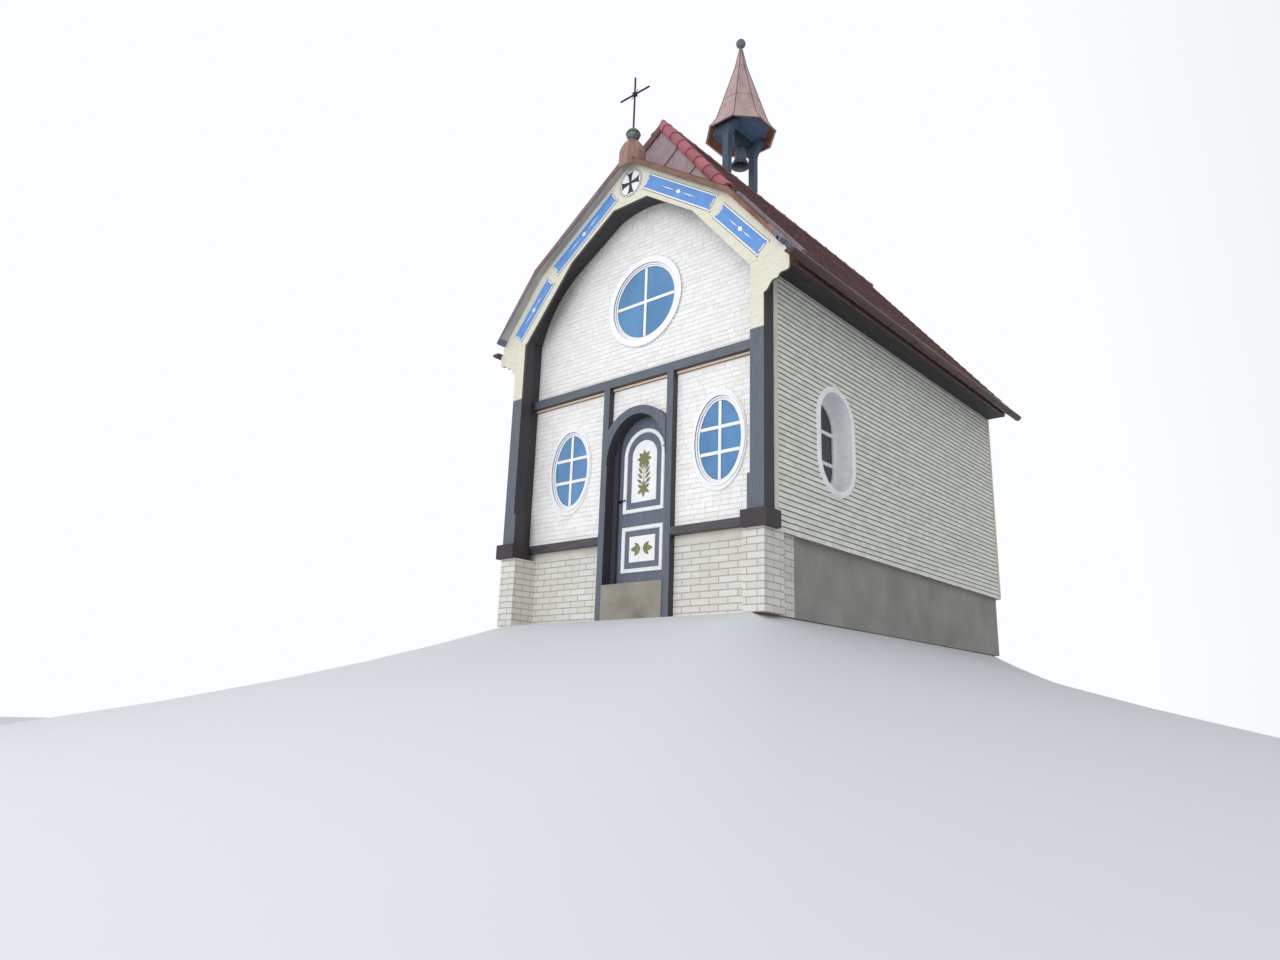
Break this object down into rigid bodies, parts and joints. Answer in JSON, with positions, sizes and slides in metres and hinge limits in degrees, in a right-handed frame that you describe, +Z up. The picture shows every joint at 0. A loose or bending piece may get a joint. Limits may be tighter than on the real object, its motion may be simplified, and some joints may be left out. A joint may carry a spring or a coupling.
{
  "type": "small wayside chapel",
  "caption": "Small chapel with shingled walls, an arched recess over its door wall, a tiled roof with a hipped front, a bell turret under a pointed hood and a cross on the gable.",
  "frame": {"origin": "middle of the bounding box in plan, at the lowest ground point under the plinth", "axes": "+Z up, -Y the way the door faces, +X to the right of someone facing the door"},
  "size_m": [4.844, 6.8598, 9.3212],
  "materials": {
    "plinth_render": "matte",
    "wall_shingle": "matte paint",
    "blue_timber": "satin paint",
    "door_paint": "satin paint",
    "cream_board": "satin paint",
    "dark_timber": "matte",
    "copper_sheet": "satin",
    "roof_tile": "matte",
    "gutter_metal": "satin",
    "white_timber": "satin paint",
    "window_glass": "clear",
    "black_iron": "satin",
    "bell_bronze": "satin",
    "aged_copper": "aged"
  },
  "bodies": {
    "building": {"front_plinths": "plinth_render", "side_plinths": "plinth_render", "rear_plinth": "plinth_render", "floor_slab": "plinth_render", "threshold": "plinth_render", "front_wall_left": "wall_shingle", "front_wall_right": "wall_shingle", "front_wall_over_door": "wall_shingle", "front_gable_wall": "wall_shingle", "side_wall_left": "wall_shingle", "side_wall_right": "wall_shingle", "rear_wall": "wall_shingle", "corner_posts": "blue_timber", "corner_returns": "blue_timber", "cross_beam": "blue_timber", "sill_beams": "blue_timber", "door_posts": "blue_timber", "door_arch": "blue_timber", "turret_posts": "blue_timber", "gable_board": "cream_board", "arch_lining": "dark_timber", "eaves": "dark_timber", "canopy_left": "copper_sheet", "canopy_right": "copper_sheet", "front_hip": "copper_sheet", "spire_hood": "copper_sheet", "cross_pedestal": "copper_sheet", "roof_left": "roof_tile", "roof_right": "roof_tile", "hip_cap_left": "roof_tile", "hip_cap_right": "roof_tile", "ridge_cap": "roof_tile", "gutters": "gutter_metal", "round_window": "white_timber", "oval_windows": "white_timber", "side_windows": "white_timber", "window_glass": "window_glass", "door_hinges": "black_iron", "roof_cross": "black_iron", "cross_ball": "aged_copper", "spire_finial": "aged_copper"},
    "door": {"door_leaf": "door_paint", "door_handle": "black_iron"},
    "bell": {"bell": "bell_bronze", "bell_yoke": "black_iron", "bell_clapper": "black_iron"}
  },
  "joints": [
    {"name": "door", "type": "hinge", "parent": "building", "child": "door", "pos_m": [0.418, -2.787, 1.4], "axis": [0, 0, -1], "range_deg": [0, 95]},
    {"name": "bell_swing", "type": "hinge", "parent": "building", "child": "bell", "pos_m": [0, -0.89, 7.5402], "axis": [0, 1, 0], "range_deg": [-30, 30]}
  ]
}
